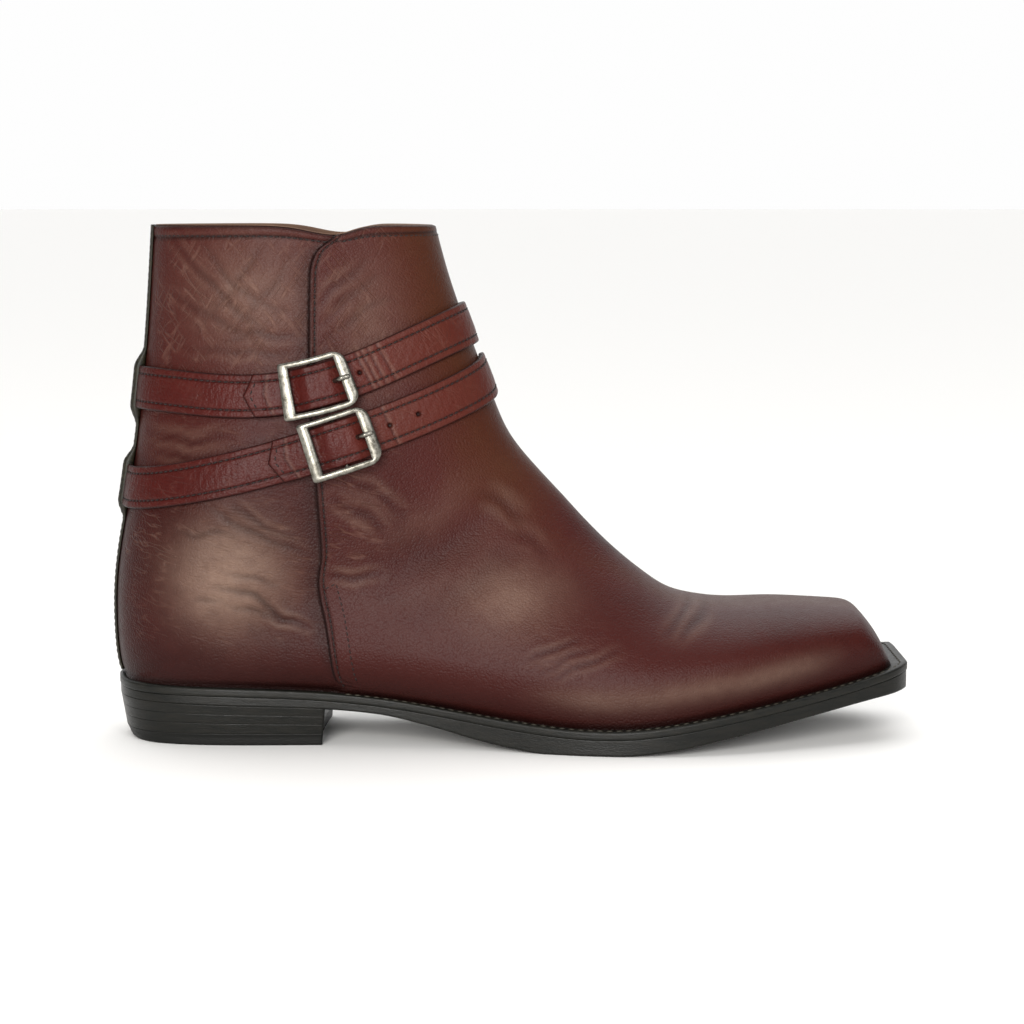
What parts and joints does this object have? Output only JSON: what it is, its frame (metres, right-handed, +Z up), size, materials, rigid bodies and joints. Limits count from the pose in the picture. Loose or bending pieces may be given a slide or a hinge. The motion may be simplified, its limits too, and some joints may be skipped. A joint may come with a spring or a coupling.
{
  "type": "jodhpur boot",
  "caption": "Right ankle boot in oxblood leather with a square chiselled toe, a low stacked heel and buckled straps that wrap the ankle above the instep",
  "frame": {"origin": "middle of the heel's flat tread, on the floor", "axes": "+X points to the toe, -Y to the outer side with the buckles, +Z up"},
  "size_m": [0.308, 0.1043, 0.197],
  "materials": {
    "upper_leather": "burnished, satin",
    "strap_leather": "burnished, satin",
    "trim_leather": "dark, satin",
    "buckle_metal": "aged nickel plate",
    "insole_leather": "natural, matt",
    "sole_leather": "blackened and waxed edge, satin",
    "heel_rubber": "matt"
  },
  "bodies": {
    "root": {"upper": "upper_leather", "backstay": "trim_leather", "strap_upper": "upper_leather", "strap_lower": "upper_leather", "strap_upper_rear": "strap_leather", "strap_lower_rear": "strap_leather", "buckle_upper": "buckle_metal", "buckle_lower": "buckle_metal", "prong_upper": "buckle_metal", "prong_lower": "buckle_metal", "insole": "insole_leather", "welt": "sole_leather", "outsole": "sole_leather", "heel_stack": "sole_leather", "heel_top_piece": "heel_rubber"}
  },
  "joints": []
}
